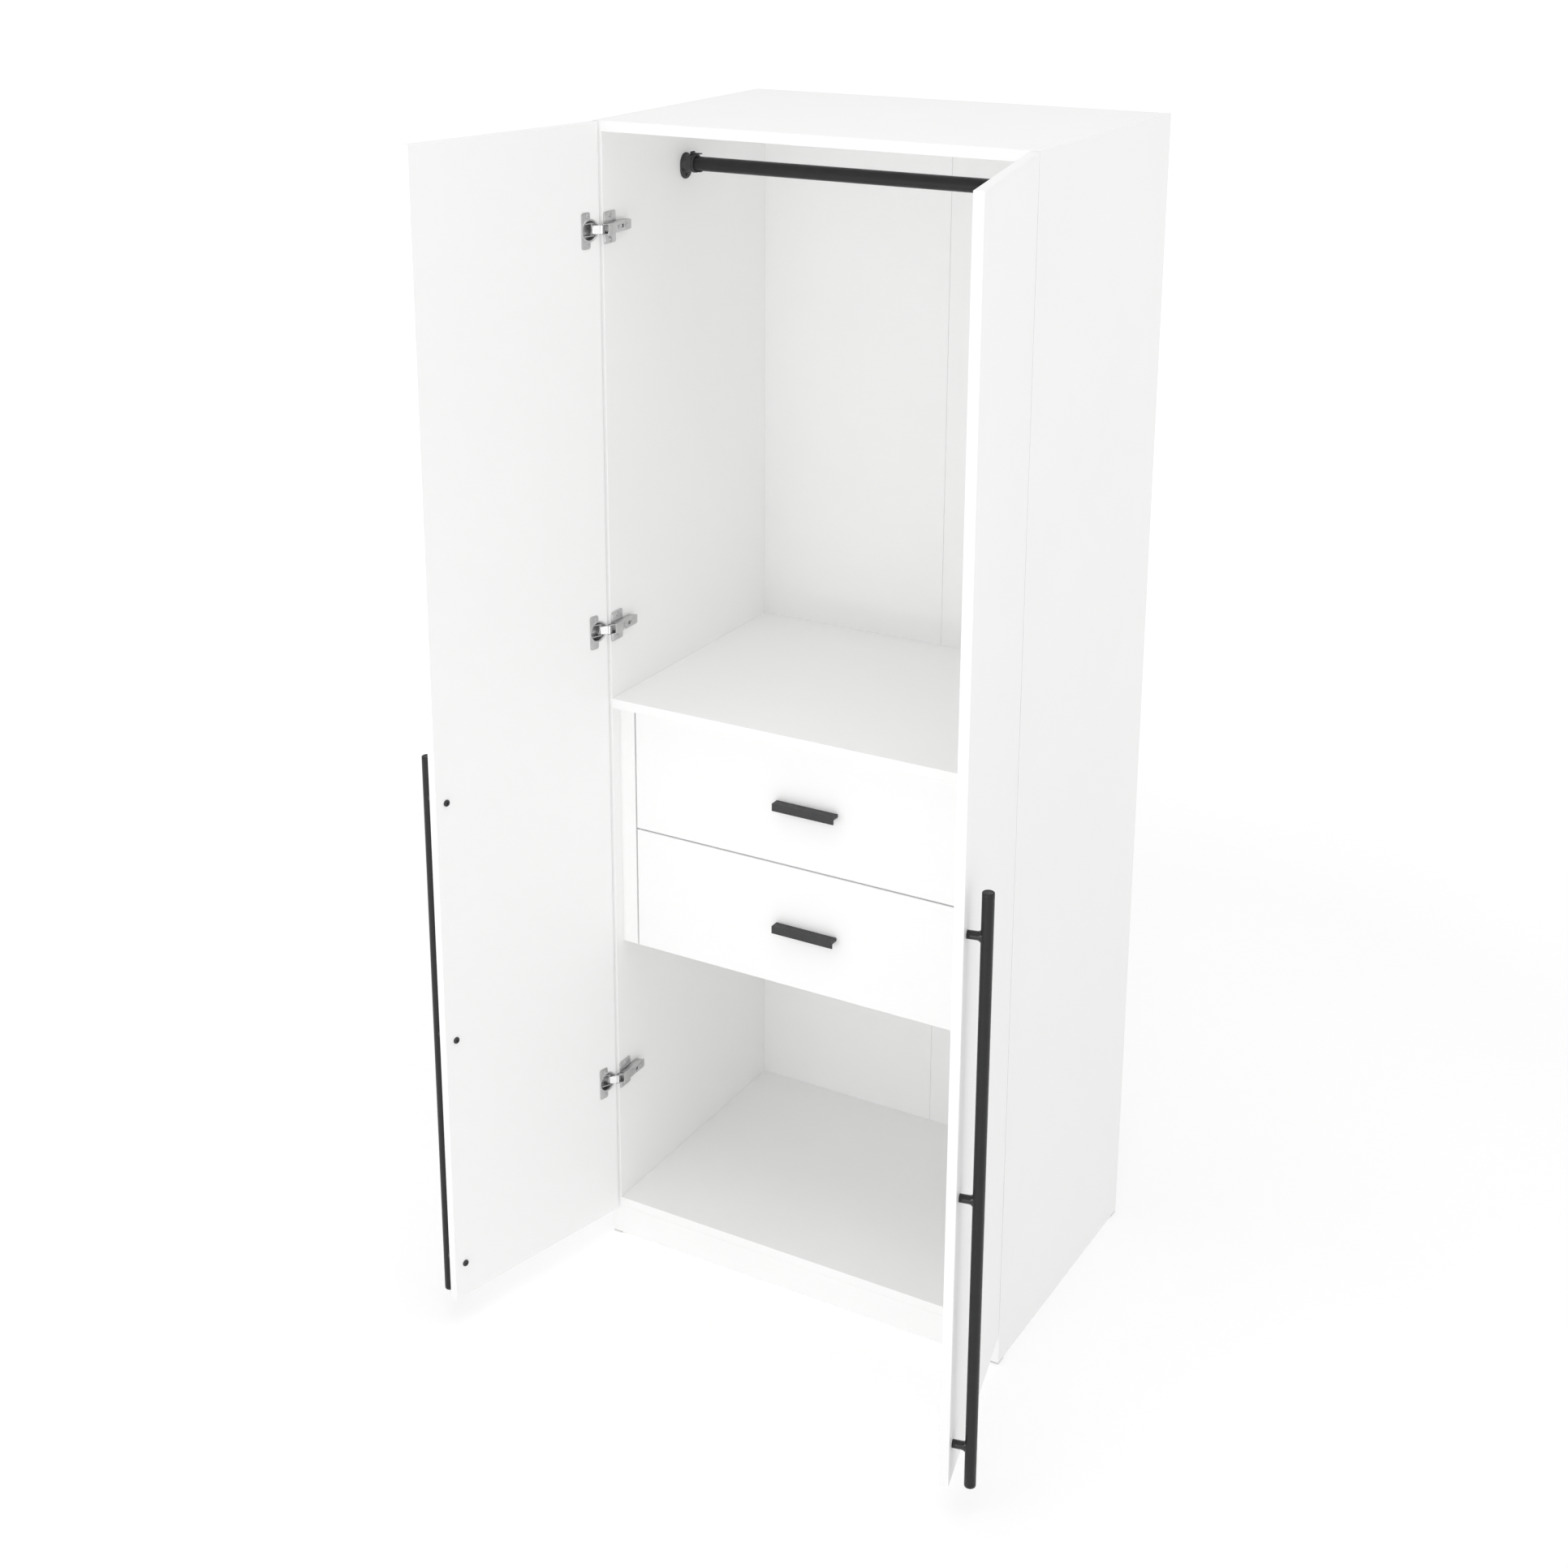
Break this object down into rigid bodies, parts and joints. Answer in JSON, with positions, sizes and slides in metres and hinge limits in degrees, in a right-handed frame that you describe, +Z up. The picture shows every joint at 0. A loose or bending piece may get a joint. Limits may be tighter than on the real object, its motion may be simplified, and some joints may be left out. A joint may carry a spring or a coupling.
{
  "type": "wardrobe",
  "caption": "Tall white two-door wardrobe with black bar handles, a hanging rail, two inner drawers with finger pulls and an open space below.",
  "frame": {"origin": "middle of the rear foot line: where the floor meets the wall, halfway between the side panels", "axes": "+Z up, +X to the right seen from the front, -Y out of the front"},
  "size_m": [1.0462, 0.9421, 2.105],
  "materials": {
    "white_board": "white melamine-faced particle board, satin",
    "white_door_board": "white laminated board, smooth satin",
    "white_hardboard": "thin white-lacquered hardboard, matt",
    "black_metal": "matt black powder coat",
    "black_tube": "satin black powder coat",
    "black_gloss": "gloss black lacquer",
    "black_screw": "blackened steel",
    "grey_plastic": "moulded light grey plastic",
    "nickel_steel": "nickel-plated pressed steel",
    "bright_nickel": "bright nickel plate",
    "zinc_screw": "zinc-plated steel",
    "slide_steel": "zinc-plated rolled steel"
  },
  "bodies": {
    "carcass": {"top_panel": "white_board", "bottom_panel": "white_board", "drawer_shelf": "white_board", "kick_board": "white_board", "rear_kick_rail": "white_board", "glides": "grey_plastic", "cheek_spacers": "white_board", "hanging_rail": "black_tube", "rail_screws": "black_screw", "hinge_plate_screws": "zinc_screw", "slide_cabinet_members": "slide_steel", "side_panel_left": "white_board", "side_panel_right": "white_board", "back_panel_left": "white_hardboard", "back_panel_right": "white_hardboard", "filler_stile_left": "white_board", "filler_stile_right": "white_board", "drawer_cheek_left": "white_board", "drawer_cheek_right": "white_board", "rail_flange_left": "black_metal", "rail_flange_right": "black_metal", "hinge_plates_left": "nickel_steel", "hinge_plates_right": "nickel_steel", "hinge_arms_left": "nickel_steel", "hinge_arms_right": "nickel_steel", "hinge_pins_left": "nickel_steel", "hinge_pins_right": "nickel_steel"},
    "door_left": {"door_left": "white_door_board", "hinge_cups_left": "nickel_steel", "cup_screws_left": "zinc_screw", "handle_bar_left": "black_tube", "handle_posts_left": "black_gloss", "handle_bolts_left": "black_screw"},
    "door_right": {"door_right": "white_door_board", "hinge_cups_right": "nickel_steel", "cup_screws_right": "zinc_screw", "handle_bar_right": "black_tube", "handle_posts_right": "black_gloss", "handle_bolts_right": "black_screw"},
    "hinge_links_left": {"hinge_links_left": "bright_nickel"},
    "hinge_links_right": {"hinge_links_right": "bright_nickel"},
    "slide_middle_lower": {"slide_middle_lower": "slide_steel"},
    "drawer_lower": {"drawer_front_lower": "white_door_board", "drawer_side_left_lower": "white_board", "drawer_side_right_lower": "white_board", "drawer_back_lower": "white_board", "drawer_bottom_lower": "white_hardboard", "drawer_pull_lower": "black_metal", "pull_screws_lower": "zinc_screw", "slide_drawer_lower": "slide_steel"},
    "slide_middle_upper": {"slide_middle_upper": "slide_steel"},
    "drawer_upper": {"drawer_front_upper": "white_door_board", "drawer_side_left_upper": "white_board", "drawer_side_right_upper": "white_board", "drawer_back_upper": "white_board", "drawer_bottom_upper": "white_hardboard", "drawer_pull_upper": "black_metal", "pull_screws_upper": "zinc_screw", "slide_drawer_upper": "slide_steel"}
  },
  "joints": [
    {"name": "door_left_hinge", "type": "hinge", "parent": "carcass", "child": "door_left", "pos_m": [-0.3935, -0.558, 0], "axis": [0, 0, -1], "range_deg": [-103, 2]},
    {"name": "hinge_links_left_pin", "type": "hinge", "parent": "carcass", "child": "hinge_links_left", "pos_m": [-0.378, -0.558, 0], "axis": [0, 0, -1], "range_deg": [-127.01, 2.48]},
    {"name": "door_right_hinge", "type": "hinge", "parent": "carcass", "child": "door_right", "pos_m": [0.3935, -0.558, 0], "axis": [0, 0, 1], "range_deg": [-103, 2]},
    {"name": "hinge_links_right_pin", "type": "hinge", "parent": "carcass", "child": "hinge_links_right", "pos_m": [0.378, -0.558, 0], "axis": [0, 0, 1], "range_deg": [-127.01, 2.48]},
    {"name": "slide_middle_lower_run", "type": "slide", "parent": "carcass", "child": "slide_middle_lower", "axis": [0, -1, 0], "range_m": [0, 0.2]},
    {"name": "drawer_lower_run", "type": "slide", "parent": "slide_middle_lower", "child": "drawer_lower", "axis": [0, -1, 0], "range_m": [0, 0.2]},
    {"name": "slide_middle_upper_run", "type": "slide", "parent": "carcass", "child": "slide_middle_upper", "axis": [0, -1, 0], "range_m": [0, 0.2]},
    {"name": "drawer_upper_run", "type": "slide", "parent": "slide_middle_upper", "child": "drawer_upper", "axis": [0, -1, 0], "range_m": [0, 0.2]}
  ],
  "couplings": [
    {"joint": "hinge_links_left_pin", "follows": "door_left_hinge", "ratio": 1.233},
    {"joint": "hinge_links_right_pin", "follows": "door_right_hinge", "ratio": 1.233}
  ]
}
